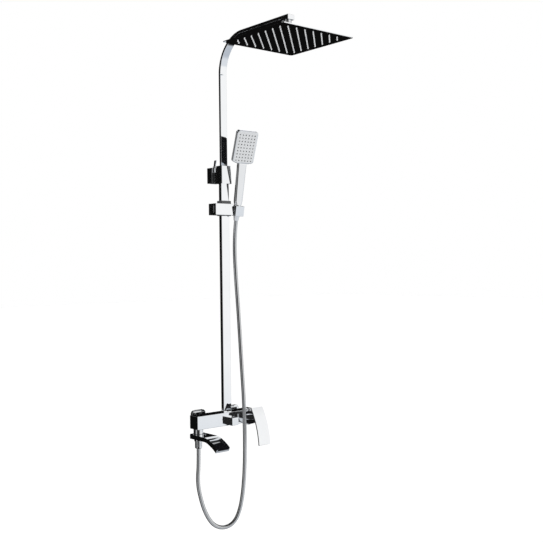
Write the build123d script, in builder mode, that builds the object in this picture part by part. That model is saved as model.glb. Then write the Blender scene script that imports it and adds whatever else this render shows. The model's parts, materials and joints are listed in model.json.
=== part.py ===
from build123d import *
from math import cos, pi, radians, sin, sqrt, tan
import os

# Exposed rainfall shower column: bar mixer with flat spout, telescoping column,
# square rain head, slider, handset and hose. Millimetres, +Z up, +X to the right,
# +Y into the wall. The origin lies on the wall plane, midway between the two
# inlets, at the height of the mixer's axis.

# ---------------------------------------------------------------- driving sizes
INLET_SPACING = 150.0  # standard distance between the two wall inlets
MIXER_Y = -71.0  # axis of the mixer bar and of the column, from the wall
BODY_SECTION = 46.0  # square section of the mixer bar
BODY_LEFT, BODY_RIGHT = -141.0, 112.0
BODY_FRONT = MIXER_Y - BODY_SECTION / 2
BODY_BACK = MIXER_Y + BODY_SECTION / 2
BODY_TOP = BODY_SECTION / 2
BODY_BOTTOM = -BODY_SECTION / 2

G12_R = 10.48  # outer thread radius of G1/2
G34_R = 13.2  # outer thread radius of G3/4
WATERWAY_R = 5.5
FIT = 0.05  # radial running clearance
SOFT_FIT = 0.3  # gap between curved faces that only face each other

TUBE_W, TUBE_D, TUBE_WALL = 34.0, 15.0, 1.5  # lower, outer tube
TUBE_TOP = 880.0
RISER_W, RISER_D, RISER_WALL = 28.0, 10.0, 1.5  # upper, inner tube
RISER_BOTTOM = 640.0
ARM_Z = 1334.0  # centre line of the horizontal arm
BEND_R = 125.0  # centre line radius of the bend
HEAD_Y = -419.0  # centre of the rain head
ARM_END_Y = -438.0

HEAD_SIDE = 300.0
HEAD_FACE_Z = 1260.0
HEAD_SHELL_H = 8.0
BALL_Z, BALL_R = 1288.0, 11.0
HEAD_NOZZLES = 8  # in the longer rows of the staggered grid
HEAD_PITCH = 34.6
HEAD_RIM = 3.0  # thickness of the head at its edge
HEAD_SLOPE = 26.0  # width of the sloping border on its top

SPOUT_X = -122.0  # spout pivot and hose outlet
SPOUT_W = 54.0
KNOB_X = -23.0
KNOB_SIDE, KNOB_FRONT = 27.0, -152.0
LEVER_X = INLET_SPACING / 2
LIFT_Y = -100.0  # axis on which the lever lifts

SLEEVE_BOTTOM, SLEEVE_TOP, SLEEVE_BACK = 825.0, 888.0, -53.0
SLIDER_BOTTOM, SLIDER_TOP = 714.0, 754.0
CRADLE_CENTRE = (44.5, -88.0, 731.0)
CRADLE_TILT = 10.5  # the socket's axis leans out of the wall by this angle
CRADLE_PIVOT_Y = -90.0
HANDSET_YAW = -14.0  # the spray face turned a little to the left
HEAD_TILT = 11.0  # spray head against its handle
HANDSET_COLUMNS, HANDSET_ROWS = 6, 9
HANDSET_PITCH_X, HANDSET_PITCH_Z = 11.2, 11.3

HOSE_R = 7.0
# Centre line of the hose, from the mixer's outlet to the handset's conical nut.
HOSE_POINTS = [
    (-122.0, -71.0, -90.0),
    (-122.0, -71.0, -140.0),
    (-130.0, -74.0, -205.0),
    (-123.0, -78.0, -255.0),
    (-109.0, -84.0, -308.0),
    (-86.0, -92.0, -352.0),
    (-58.0, -100.0, -371.0),
    (-28.5, -107.0, -372.5),
    (-3.0, -113.0, -358.5),
    (14.0, -118.0, -329.0),
    (26.0, -122.0, -280.5),
    (32.5, -127.0, -205.0),
    (35.0, -130.0, -110.0),
    (34.5, -129.0, 50.0),
    (35.0, -115.0, 200.0),
    (39.0, -97.0, 370.0),
    (44.0, -74.5, 520.0),
    (44.5, -70.7, 637.67),
    (44.5, -81.622, 696.586),
]

os.makedirs("parts", exist_ok=True)


# ---------------------------------------------------------------------- helpers
def keep(builder, name):
    """Label a finished piece and write it."""
    builder.part.label = name
    export_step(builder.part, f"parts/{name}.step")


def facing_room(y):
    """Plane parallel to the wall at y, looking into the room: x is X, y is Z."""
    return Plane.XZ.offset(-y)


def across(x):
    """Plane across the mixer bar at x: its x is Y and its y is Z."""
    return Plane.YZ.offset(x)


def level(z):
    """Horizontal plane at z."""
    return Plane.XY.offset(z)


def ring_to_room(y, x, outer_r, inner_r, length):
    """Ring on the mixer's axis height, from y towards the room."""
    with BuildSketch(facing_room(y)) as section:
        with Locations((x, 0)):
            Circle(outer_r)
            Circle(inner_r, mode=Mode.SUBTRACT)
    extrude(section.sketch, amount=length)


def disc_to_room(y, x, radius, length, mode=Mode.ADD):
    """Round bar or bore on the mixer's axis height, from y towards the room."""
    with BuildSketch(facing_room(y)) as section:
        with Locations((x, 0)):
            Circle(radius)
    extrude(section.sketch, amount=length, mode=mode)


def hanging_disc(z, x, y, radius, depth, mode=Mode.ADD):
    """Upright round bar or bore that reaches down from z."""
    with BuildSketch(level(z)) as section:
        with Locations((x, y)):
            Circle(radius)
    extrude(section.sketch, amount=-depth, mode=mode)


def upright_block(z, x, y, width, depth, corner, height, mode=Mode.ADD):
    """Upright block with rounded corners, from z upwards."""
    with BuildSketch(level(z)) as section:
        with Locations((x, y)):
            RectangleRounded(width, depth, corner)
    extrude(section.sketch, amount=height, mode=mode)


def ball_height(ball_r, ring_r):
    """Distance from a ball's centre to where its section has shrunk to ring_r."""
    return sqrt(ball_r**2 - ring_r**2)


# ------------------------------------------------------------------- mixer body
INLETS = (-INLET_SPACING / 2, INLET_SPACING / 2)
TAIL_END = -36.0
with BuildPart() as mixer_body:
    with BuildSketch(across(BODY_LEFT)):
        with Locations((MIXER_Y, 0)):
            RectangleRounded(BODY_SECTION, BODY_SECTION, 1.5)
    extrude(amount=BODY_RIGHT - BODY_LEFT)
    ends = mixer_body.faces().sort_by(Axis.X)
    fillet(ends[0].edges() + ends[-1].edges(), 1.0)
    for inlet_x in INLETS:
        # tail with the collar that its union nut pulls on
        disc_to_room(TAIL_END, inlet_x, 11, TAIL_END - BODY_BACK)
        disc_to_room(TAIL_END, inlet_x, 13, 3)
        disc_to_room(TAIL_END, inlet_x, 7.5, 25.5, mode=Mode.SUBTRACT)
    # cross channel from the left inlet to the cartridge
    with BuildSketch(across(-INLET_SPACING / 2)):
        with Locations((-57, 9)):
            Circle(4.5)
    extrude(amount=INLET_SPACING - 11, mode=Mode.SUBTRACT)
    # pockets for the mixing cartridge and the diverter
    disc_to_room(-60, LEVER_X, 18, 40, mode=Mode.SUBTRACT)
    disc_to_room(-64, KNOB_X, 12, 40, mode=Mode.SUBTRACT)
    # mixed water channel to the diverter and on to the outlet underneath
    with BuildSketch(across(SPOUT_X)):
        with Locations((-80, -9)):
            Circle(WATERWAY_R)
    extrude(amount=LEVER_X - SPOUT_X - 10, mode=Mode.SUBTRACT)
    # column socket on top, linked to the diverter
    hanging_disc(BODY_TOP, 0, MIXER_Y, 9, 24, mode=Mode.SUBTRACT)
    with BuildSketch(across(KNOB_X)):
        with Locations((MIXER_Y, 4)):
            Circle(4)
    extrude(amount=-KNOB_X, mode=Mode.SUBTRACT)
    hanging_disc(-9, SPOUT_X, MIXER_Y, G12_R, 20, mode=Mode.SUBTRACT)
keep(mixer_body, "mixer_body")

# ------------------------------------------------------- wall unions and flanges
UNION_OUT, UNION_END = 22.0, -33.0  # inside the wall, and towards the mixer
NUT_START, NUT_LIP, NUT_END = -20.0, -39.3, -44.0
FLANGE_STEP, FLANGE_FRONT = -10.0, -18.0


def square_to_room(y, x, side, corner, length, mode=Mode.ADD):
    """Rounded square on the mixer's axis height, from y towards the room."""
    with BuildSketch(facing_room(y)) as section:
        with Locations((x, 0)):
            RectangleRounded(side, side, corner)
    extrude(section.sketch, amount=length, mode=mode)


with BuildPart() as wall_unions:
    for inlet_x in INLETS:
        ring_to_room(UNION_OUT, inlet_x, G12_R, 7.5, UNION_OUT)
        ring_to_room(0, inlet_x, 11.5, 7.5, 14)
        ring_to_room(-14, inlet_x, G34_R, 7.5, -14 - UNION_END)
    thread_ends = wall_unions.faces().filter_by(Axis.Y).group_by(Axis.Y)
    for thread_end in thread_ends[0] + thread_ends[-1]:
        chamfer(thread_end.outer_wire().edges(), 0.8)
keep(wall_unions, "wall_unions")

with BuildPart() as flanges:
    for inlet_x in INLETS:
        square_to_room(0, inlet_x, 58, 12, -FLANGE_STEP)
        square_to_room(FLANGE_STEP, inlet_x, 48, 10, FLANGE_STEP - FLANGE_FRONT)
    for step in (0, 1):
        for face in flanges.faces().filter_by(Axis.Y).group_by(Axis.Y)[step]:
            fillet(face.outer_wire().edges(), 1.5)
    for inlet_x in INLETS:
        square_to_room(0, inlet_x, 53, 9.5, 7.5, mode=Mode.SUBTRACT)
        square_to_room(-7.5, inlet_x, 43, 7.5, 8, mode=Mode.SUBTRACT)
        disc_to_room(-10, inlet_x, G34_R + 0.4, 10, mode=Mode.SUBTRACT)
keep(flanges, "flanges")

with BuildPart() as union_nuts:
    for inlet_x in INLETS:
        with BuildSketch(facing_room(NUT_START)) as hexagon:
            with Locations((inlet_x, 0)):
                RegularPolygon(18.5, 6)
        extrude(hexagon.sketch, amount=NUT_START - NUT_END)
        disc_to_room(NUT_START, inlet_x, G34_R + 0.15, NUT_START - NUT_LIP, mode=Mode.SUBTRACT)
        disc_to_room(NUT_LIP, inlet_x, 11 + SOFT_FIT, NUT_LIP - NUT_END, mode=Mode.SUBTRACT)
keep(union_nuts, "union_nuts")

with BuildPart() as inlet_washers:
    for inlet_x in INLETS:
        ring_to_room(UNION_END, inlet_x, 12.8, 7.7, UNION_END - TAIL_END)
keep(inlet_washers, "inlet_washers")

with BuildPart() as check_valves:
    for inlet_x in INLETS:
        ring_to_room(-12, inlet_x, 7.2, 4.0, 18)
keep(check_valves, "check_valves")

# ----------------------------------------------------------- mixing cartridge
with BuildPart() as mixing_cartridge:
    disc_to_room(-60.5, LEVER_X, 17.5, 22)
    ring_to_room(-82.5, LEVER_X, 17.5, 12.2, 15.2)
    for port_x, port_z in ((-6, 6), (6, 2), (0, -8)):
        with BuildSketch(facing_room(-60.5)):
            with Locations((LEVER_X + port_x, port_z)):
                Circle(2.6)
        extrude(amount=22, mode=Mode.SUBTRACT)
keep(mixing_cartridge, "mixing_cartridge")

with BuildPart() as cartridge_nut:
    ring_to_room(-94.1, LEVER_X, 20.5, 17.8, 3.7)
    ring_to_room(-97.8, LEVER_X, 20.5, 12.6, 3.4)
    with BuildSketch(facing_room(-98.8)):
        with Locations((LEVER_X, 0)):
            with PolarLocations(19.2, 4):
                Rectangle(4, 4)
    extrude(amount=5, mode=Mode.SUBTRACT)
keep(cartridge_nut, "cartridge_nut")

BONNET_R, BONNET_FRONT = 29.0, -107.0
NOSE_R, NOSE_INNER_R, NOSE_BORE = 24.0, 21.5, 16.0
NOSE_BASE = 6.0  # the nose starts this far in front of the lift axis
ARC_MIDDLE = 10.0  # and both its arcs pass their middle point here


def nose_point(ball_r, height):
    """Point of the nose's section on the ball of radius ball_r."""
    return (LEVER_X + ball_height(ball_r, height), LIFT_Y - height)


with BuildPart() as bonnet:
    ring_to_room(BODY_FRONT, LEVER_X, BONNET_R, 20.9, BODY_FRONT - BONNET_FRONT)
    fillet(bonnet.faces().sort_by(Axis.Y)[0].outer_wire().edges(), 2.5)
    nose_tip = nose_point(NOSE_R, ball_height(NOSE_R, NOSE_BORE))
    nose_tip_inside = nose_point(NOSE_INNER_R, ball_height(NOSE_INNER_R, NOSE_BORE))
    with BuildSketch(Plane.XY):
        with BuildLine():
            ThreePointArc(nose_point(NOSE_R, NOSE_BASE), nose_point(NOSE_R, ARC_MIDDLE), nose_tip)
            Line(nose_tip, nose_tip_inside)
            ThreePointArc(
                nose_tip_inside,
                nose_point(NOSE_INNER_R, ARC_MIDDLE),
                nose_point(NOSE_INNER_R, NOSE_BASE),
            )
            Line(nose_point(NOSE_INNER_R, NOSE_BASE), nose_point(NOSE_R, NOSE_BASE))
        make_face()
    revolve(axis=Axis((LEVER_X, 0, 0), (0, 1, 0)))
keep(bonnet, "bonnet")

# ------------------------------------------------------------------------ lever
STEM_SIDE, STEM_END = 8.0, -141.0
PIN_R = 1.5
with BuildPart() as cartridge_turret:
    disc_to_room(-84, LEVER_X, 12.2 - FIT, 22)
    with BuildSketch(facing_room(-88)):
        with Locations((LEVER_X, 0)):
            Rectangle(STEM_SIDE + 0.4, 30)
    extrude(amount=20, mode=Mode.SUBTRACT)
    with BuildSketch(across(LEVER_X - 20)):
        with Locations((LIFT_Y, 0)):
            Circle(PIN_R)
    extrude(amount=40, mode=Mode.SUBTRACT)
keep(cartridge_turret, "cartridge_turret")

with BuildPart() as stem_pin:
    with BuildSketch(across(LEVER_X - 11)):
        with Locations((LIFT_Y, 0)):
            Circle(PIN_R)
    extrude(amount=22)
keep(stem_pin, "stem_pin")

with BuildPart() as cartridge_stem:
    with BuildSketch(facing_room(-91)):
        with Locations((LEVER_X, 0)):
            Rectangle(STEM_SIDE, STEM_SIDE)
    extrude(amount=-91 - STEM_END)
    with BuildSketch(across(LEVER_X - 10)):
        with Locations((LIFT_Y, 0)):
            Circle(PIN_R + FIT)
    extrude(amount=20, mode=Mode.SUBTRACT)
keep(cartridge_stem, "cartridge_stem")

PLATE_W, PLATE_T = 50.0, 5.0
# the plate's front curve across the bar, as (Y, Z)
PLATE_TOP, PLATE_MID, PLATE_END = (-149.0, 38.0), (-178.5, -24.0), (-191.0, -88.0)
HUB_R = 27.0
SCREW_Y = -132.0


def behind(point):
    """The same point on the plate's back curve."""
    return (point[0] + 0.94 * PLATE_T, point[1] - 0.34 * PLATE_T)


with BuildPart() as lever_handle:
    disc_to_room(-108, LEVER_X, HUB_R, 66)
    # rear face leans forward, so that the hub clears the bonnet when lifted
    with BuildSketch(across(LEVER_X - 30)):
        Polygon((-100, -40), (-109.5, -40), (-122.5, 40), (-100, 40), align=None)
    extrude(amount=60, mode=Mode.SUBTRACT)
    # underside rises towards the plate
    with BuildSketch(across(LEVER_X - 30)):
        Polygon((-105, -28), (-172, -7), (-200, -7), (-200, -60), (-105, -60), align=None)
    extrude(amount=60, mode=Mode.SUBTRACT)
    # in front it ends inside the plate's own curve
    with BuildSketch(across(LEVER_X - 30)):
        with BuildLine():
            ThreePointArc(behind(PLATE_TOP), behind(PLATE_MID), behind(PLATE_END))
            Polyline(behind(PLATE_END), (-230, -88), (-230, 38), behind(PLATE_TOP))
        make_face()
    extrude(amount=60, mode=Mode.SUBTRACT)
    with BuildSketch(across(LEVER_X - PLATE_W / 2)):
        with BuildLine():
            ThreePointArc(PLATE_TOP, PLATE_MID, PLATE_END)
            Line(PLATE_END, behind(PLATE_END))
            ThreePointArc(behind(PLATE_END), behind(PLATE_MID), behind(PLATE_TOP))
            Line(behind(PLATE_TOP), PLATE_TOP)
        make_face()
    extrude(amount=PLATE_W)
    across_plate = lever_handle.edges().filter_by(lambda e: abs(e.length - PLATE_T) < 0.05)
    fillet(across_plate, 3.0)
    with Locations((LEVER_X, LIFT_Y, 0)):
        Sphere(NOSE_R + 0.5, mode=Mode.SUBTRACT)
    with BuildSketch(facing_room(-120)):
        with Locations((LEVER_X, 0)):
            Rectangle(STEM_SIDE, STEM_SIDE)
    extrude(amount=-120 - STEM_END, mode=Mode.SUBTRACT)
    hanging_disc(-STEM_SIDE / 2, LEVER_X, SCREW_Y, 2, 30, mode=Mode.SUBTRACT)
    hanging_disc(-16, LEVER_X, SCREW_Y, 3.5, 20, mode=Mode.SUBTRACT)
keep(lever_handle, "lever_handle")

with BuildPart() as lever_grub_screw:
    hanging_disc(-STEM_SIDE / 2, LEVER_X, SCREW_Y, 2, 10)
    with BuildSketch(level(-14)):
        with Locations((LEVER_X, SCREW_Y)):
            RegularPolygon(1.1, 6)
    extrude(amount=4, mode=Mode.SUBTRACT)
keep(lever_grub_screw, "lever_grub_screw")

with BuildPart() as index_cap:
    hanging_disc(-16, LEVER_X, SCREW_Y, 3.5, 3)
keep(index_cap, "index_cap")

# --------------------------------------------------------------------- diverter
with BuildPart() as diverter_cartridge:
    ring_to_room(-64.5, KNOB_X, 11.9, 7.0, 15.5)
    ring_to_room(-80, KNOB_X, 11.9, 4.0 + FIT, -80 - BODY_FRONT)
keep(diverter_cartridge, "diverter_cartridge")

with BuildPart() as diverter_collar:
    ring_to_room(BODY_FRONT, KNOB_X, 12.8, 4.4, 2)
keep(diverter_collar, "diverter_collar")

KNOB_BACK = -96.6
with BuildPart() as diverter_spindle:
    disc_to_room(-82, KNOB_X, 4, 38)
keep(diverter_spindle, "diverter_spindle")

with BuildPart() as diverter_knob:
    square_to_room(KNOB_BACK, KNOB_X, KNOB_SIDE, 1.0, KNOB_BACK - KNOB_FRONT)
    fillet(diverter_knob.faces().sort_by(Axis.Y)[0].edges(), 0.6)
    disc_to_room(KNOB_BACK, KNOB_X, 4, 120 + KNOB_BACK, mode=Mode.SUBTRACT)
keep(diverter_knob, "diverter_knob")

# ------------------------------------------------------ outlet post and spout
POST_COLLAR_Z, POST_END_Z = -39.7, -77.0
SPOUT_TOP_Z, SPOUT_UNDER_Z = -40.0, -55.0
RING_TOP_Z, RING_END_Z = -55.3, -65.0
SPINDLE_R = 12.0
FEED_Z = -47.2  # cross hole that feeds the spout, between the two O-rings
GROOVES_Z = (-42.0, -50.0)


def at_outlet(z, radius, depth, mode=Mode.ADD):
    """Round bar or bore on the spout's pivot, down from z."""
    hanging_disc(z, SPOUT_X, MIXER_Y, radius, depth, mode=mode)


with BuildPart() as outlet_post:
    at_outlet(-10, G12_R, -10 - BODY_BOTTOM)
    at_outlet(BODY_BOTTOM, 17, BODY_BOTTOM - POST_COLLAR_Z)
    fillet(outlet_post.faces().sort_by(Axis.Z)[0].edges(), 1.0)
    at_outlet(POST_COLLAR_Z, SPINDLE_R, POST_COLLAR_Z - RING_END_Z)
    at_outlet(RING_END_Z, G12_R - 0.15, RING_END_Z - POST_END_Z)
    at_outlet(-9, 6.5, 80, mode=Mode.SUBTRACT)
    for groove_z in GROOVES_Z:
        with BuildSketch(level(groove_z)):
            with Locations((SPOUT_X, MIXER_Y)):
                Circle(SPINDLE_R + 1)
                Circle(SPINDLE_R - 1.5, mode=Mode.SUBTRACT)
        extrude(amount=-2.4, mode=Mode.SUBTRACT)
    with BuildSketch(across(SPOUT_X - 20)):
        with Locations((MIXER_Y, FEED_Z)):
            Circle(2.2)
    extrude(amount=40, mode=Mode.SUBTRACT)
keep(outlet_post, "outlet_post")

with BuildPart() as post_o_rings:
    for groove_z in GROOVES_Z:
        with BuildSketch(facing_room(MIXER_Y)):
            with Locations((SPOUT_X + SPINDLE_R - 0.75, groove_z - 1.2)):
                Circle(0.74)
        revolve(axis=Axis((SPOUT_X, MIXER_Y, 0), (0, 0, 1)))
keep(post_o_rings, "post_o_rings")

with BuildPart() as spout_ring:
    at_outlet(RING_TOP_Z, 15, RING_TOP_Z - RING_END_Z)
    chamfer(spout_ring.edges().filter_by(GeomType.CIRCLE), 0.8)
    at_outlet(RING_TOP_Z, SPINDLE_R, RING_TOP_Z - RING_END_Z, mode=Mode.SUBTRACT)
keep(spout_ring, "spout_ring")

SPOUT_BACK_Y, TRAY_Y = -53.0, -168.0  # the water leaves the closed part at TRAY_Y
TRAY_WALL = 3.0


def spout_curve(drop):
    """The spout's downward curve, drop below its upper edge, as (Y, Z)."""
    start = (-140.0, SPOUT_TOP_Z - drop)
    middle = (-178.0 + 0.3 * drop, -50.0 - 0.93 * drop)
    tip = (-214.0 + 0.53 * drop, -71.0 - 0.8 * drop)
    return start, middle, tip


with BuildPart() as spout_body:
    upper, lower = spout_curve(0), spout_curve(15)
    with BuildSketch(across(SPOUT_X - SPOUT_W / 2)):
        with BuildLine():
            Spline(*upper, tangents=((-1, 0), (-0.75, -0.66)))
            Spline(*lower, tangents=((-1, 0), (-0.75, -0.66)))
            Line(upper[-1], lower[-1])
            Polyline(upper[0], (SPOUT_BACK_Y, SPOUT_TOP_Z), (SPOUT_BACK_Y, SPOUT_UNDER_Z), lower[0])
        make_face()
    extrude(amount=SPOUT_W)
    fillet(spout_body.edges().filter_by(Axis.Z).group_by(Axis.Y)[-1], 8.0)
    # open tray in front of the mouth
    floor = spout_curve(7)
    with BuildSketch(across(SPOUT_X - SPOUT_W / 2 + TRAY_WALL)):
        with BuildLine():
            Spline((TRAY_Y, -54), floor[1], floor[2], tangents=((-1, -0.2), (-0.75, -0.66)))
            Polyline(floor[2], (-240, floor[2][1]), (-240, -30), (TRAY_Y, -30), (TRAY_Y, -54))
        make_face()
    extrude(amount=SPOUT_W - 2 * TRAY_WALL, mode=Mode.SUBTRACT)
    # water chamber behind the mouth, and the pivot bore with its feed hole
    with BuildSketch(across(SPOUT_X - 23)):
        Polygon((-88, -43), (-140, -43), (TRAY_Y, -49), (TRAY_Y, -54), (-88, -52), align=None)
    extrude(amount=46, mode=Mode.SUBTRACT)
    with BuildSketch(facing_room(MIXER_Y)):
        with Locations((SPOUT_X, FEED_Z)):
            Circle(2.2)
    extrude(amount=24, mode=Mode.SUBTRACT)
    at_outlet(-30, SPINDLE_R + FIT, 40, mode=Mode.SUBTRACT)
keep(spout_body, "spout_body")

with BuildPart() as spout_grille:
    with BuildSketch(facing_room(-156)):
        with Locations((SPOUT_X, -50.7)):
            Rectangle(45.8, 5.6)
            with GridLocations(3.6, 2.6, 12, 2):
                Circle(0.9, mode=Mode.SUBTRACT)
    extrude(amount=6)
keep(spout_grille, "spout_grille")

# ------------------------------------------------------------ column, lower part
with BuildPart() as column_spigot:
    hanging_disc(BODY_TOP, 0, MIXER_Y, 8.9, 18)
    upright_block(BODY_TOP, 0, MIXER_Y, TUBE_W - 2 * TUBE_WALL - 0.2, 11.8, 0.7, 22)
    hanging_disc(60, 0, MIXER_Y, 4, 80, mode=Mode.SUBTRACT)
keep(column_spigot, "column_spigot")

with BuildPart() as lower_tube:
    upright_block(BODY_TOP, 0, MIXER_Y, TUBE_W, TUBE_D, 1.5, TUBE_TOP - BODY_TOP)
    bore_w, bore_d = TUBE_W - 2 * TUBE_WALL, TUBE_D - 2 * TUBE_WALL
    upright_block(BODY_TOP, 0, MIXER_Y, bore_w, bore_d, 0.6, 900, mode=Mode.SUBTRACT)
keep(lower_tube, "lower_tube")

with BuildPart() as riser_guide:
    upright_block(TUBE_TOP - 28, 0, MIXER_Y, bore_w - 0.1, bore_d - 0.1, 0.6, 28)
    upright_block(TUBE_TOP - 28, 0, MIXER_Y, RISER_W + 0.2, RISER_D + 0.2, 1.5, 28, mode=Mode.SUBTRACT)
keep(riser_guide, "riser_guide")

SLEEVE_SCREWS_Z = (840.0, 865.0)
with BuildPart() as tube_sleeve:
    with BuildSketch(level(SLEEVE_BOTTOM)):
        with Locations((0, SLEEVE_BACK - 18)):
            RectangleRounded(44, 36, 2)
    with BuildSketch(level(SLEEVE_TOP)):
        with Locations((0, SLEEVE_BACK - 16.5)):
            RectangleRounded(40, 33, 2)
    loft()
    fillet(tube_sleeve.faces().sort_by(Axis.Z)[-1].edges(), 1.0)
    upright_block(SLEEVE_BOTTOM, 0, MIXER_Y, TUBE_W, TUBE_D, 1.5, TUBE_TOP - SLEEVE_BOTTOM, mode=Mode.SUBTRACT)
    upright_block(TUBE_TOP, 0, MIXER_Y, RISER_W + 0.8, RISER_D + 0.8, 1.5, 20, mode=Mode.SUBTRACT)
    for screw_z in SLEEVE_SCREWS_Z:
        with BuildSketch(across(0)):
            with Locations((MIXER_Y, screw_z)):
                Circle(2)
        extrude(amount=30, mode=Mode.SUBTRACT)
keep(tube_sleeve, "tube_sleeve")

with BuildPart() as sleeve_grub_screws:
    for screw_z in SLEEVE_SCREWS_Z:
        with BuildSketch(across(TUBE_W / 2)):
            with Locations((MIXER_Y, screw_z)):
                Circle(2)
                RegularPolygon(1.0, 6, mode=Mode.SUBTRACT)
        extrude(amount=3)
keep(sleeve_grub_screws, "sleeve_grub_screws")

# ------------------------------------------------------------------ wall bracket
BOX_BOTTOM, BOX_TOP, BOX_DEPTH, BOX_W = 830.0, 885.0, 28.0, 40.0
BRACKET_Z = (BOX_BOTTOM + BOX_TOP) / 2
ARM_BOTTOM, ARM_TOP, ARM_W = 828.0, 868.0, 26.0
TONGUE_H = 33.0  # the arm's tongue inside the box
LOCK_Y = -18.0
with BuildPart() as wall_plate:
    with BuildSketch(facing_room(0)):
        with Locations((0, BRACKET_Z)):
            RectangleRounded(BOX_W - 6.4, BOX_TOP - BOX_BOTTOM - 6.4, 2)
        with Locations((0, BRACKET_Z + 18), (0, BRACKET_Z - 18)):
            Circle(2.75, mode=Mode.SUBTRACT)
    extrude(amount=3)
keep(wall_plate, "wall_plate")

with BuildPart() as wall_box:
    with BuildSketch(facing_room(0)):
        with Locations((0, BRACKET_Z)):
            RectangleRounded(BOX_W, BOX_TOP - BOX_BOTTOM, 1.5)
    extrude(amount=BOX_DEPTH)
    fillet(wall_box.faces().sort_by(Axis.Y)[0].edges(), 1.0)
    with BuildSketch(facing_room(0)):
        with Locations((0, BRACKET_Z)):
            RectangleRounded(BOX_W - 6, BOX_TOP - BOX_BOTTOM - 6, 2)
    extrude(amount=BOX_DEPTH - 3, mode=Mode.SUBTRACT)
    with BuildSketch(facing_room(-BOX_DEPTH + 5)):
        with Locations((0, ARM_TOP - TONGUE_H / 2)):
            Rectangle(ARM_W + 0.2, TONGUE_H + 0.2)
    extrude(amount=10, mode=Mode.SUBTRACT)
    hanging_disc(BOX_TOP, 0, LOCK_Y, 3 + FIT, 6, mode=Mode.SUBTRACT)
keep(wall_box, "wall_box")

with BuildPart() as bracket_arm:
    with BuildSketch(facing_room(-BOX_DEPTH)):
        with Locations((0, (ARM_BOTTOM + ARM_TOP) / 2)):
            RectangleRounded(ARM_W, ARM_TOP - ARM_BOTTOM, 1)
    extrude(amount=-BOX_DEPTH - SLEEVE_BACK)
    with BuildSketch(facing_room(-6)):
        with Locations((0, ARM_TOP - TONGUE_H / 2)):
            Rectangle(ARM_W, TONGUE_H)
    extrude(amount=BOX_DEPTH - 6)
keep(bracket_arm, "bracket_arm")

with BuildPart() as arm_screw:
    hanging_disc(ARM_TOP + 18, 0, -44.5, 7, 18)
    chamfer(arm_screw.faces().sort_by(Axis.Z)[-1].edges(), 1.2)
    with BuildSketch(level(ARM_TOP + 18)):
        with Locations((0, -44.5)):
            RegularPolygon(2.9, 6)
    extrude(amount=-6, mode=Mode.SUBTRACT)
keep(arm_screw, "arm_screw")

with BuildPart() as lock_screw:
    hanging_disc(BOX_TOP + 3, 0, LOCK_Y, 3, BOX_TOP + 2.9 - ARM_TOP)
keep(lock_screw, "lock_screw")

with BuildPart() as lock_lever:
    hanging_disc(BOX_TOP + 6, 0, LOCK_Y, 6, 5.6)
    with BuildSketch(level(BOX_TOP + 4)):
        with Locations((0, LOCK_Y)):
            RectangleRounded(4, 10, 1.5)
    with BuildSketch(level(BOX_TOP + 27)):
        with Locations((0, LOCK_Y - 6)):
            RectangleRounded(4, 13, 1.5)
    loft()
    hanging_disc(BOX_TOP + 3, 0, LOCK_Y, 3, 10, mode=Mode.SUBTRACT)
keep(lock_lever, "lock_lever")

# ------------------------------------------------------------------ riser and arm
BLOCK_BACK_Y, BLOCK_BOTTOM_Z, NIPPLE_END_Z = -406.0, 1323.0, 1311.0
RISER_BORE_W, RISER_BORE_D = RISER_W - 2 * RISER_WALL, RISER_D - 2 * RISER_WALL
with BuildPart() as riser_arm:
    with BuildLine(Plane.YZ):
        FilletPolyline(
            (MIXER_Y, RISER_BOTTOM),
            (MIXER_Y, ARM_Z),
            (BLOCK_BACK_Y, ARM_Z),
            radius=BEND_R,
        )
    with BuildSketch(level(RISER_BOTTOM)):
        with Locations((0, MIXER_Y)):
            RectangleRounded(RISER_W, RISER_D, 1.5)
            RectangleRounded(RISER_BORE_W, RISER_BORE_D, 0.8, mode=Mode.SUBTRACT)
    sweep()
keep(riser_arm, "riser_arm")

PLUG_W, PLUG_D = bore_w - 0.4, bore_d - 0.4
with BuildPart() as riser_plug:
    upright_block(RISER_BOTTOM - 12, 0, MIXER_Y, PLUG_W, PLUG_D, 1.0, 12)
    upright_block(RISER_BOTTOM, 0, MIXER_Y, RISER_BORE_W, RISER_BORE_D, 0.8, 10)
    with BuildSketch(level(RISER_BOTTOM - 7)):
        with Locations((0, MIXER_Y)):
            RectangleRounded(PLUG_W + 2, PLUG_D + 2, 1.0)
            RectangleRounded(PLUG_W - 3, PLUG_D - 3, 1.0, mode=Mode.SUBTRACT)
    extrude(amount=3, mode=Mode.SUBTRACT)
    hanging_disc(RISER_BOTTOM + 12, 0, MIXER_Y, 2.6, 30, mode=Mode.SUBTRACT)
keep(riser_plug, "riser_plug")

with BuildPart() as riser_seal:
    upright_block(RISER_BOTTOM - 6.9, 0, MIXER_Y, PLUG_W + 0.2, PLUG_D + 0.2, 1.0, 2.8)
    upright_block(RISER_BOTTOM - 6.9, 0, MIXER_Y, PLUG_W - 3, PLUG_D - 3, 1.0, 2.8, mode=Mode.SUBTRACT)
keep(riser_seal, "riser_seal")

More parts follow.
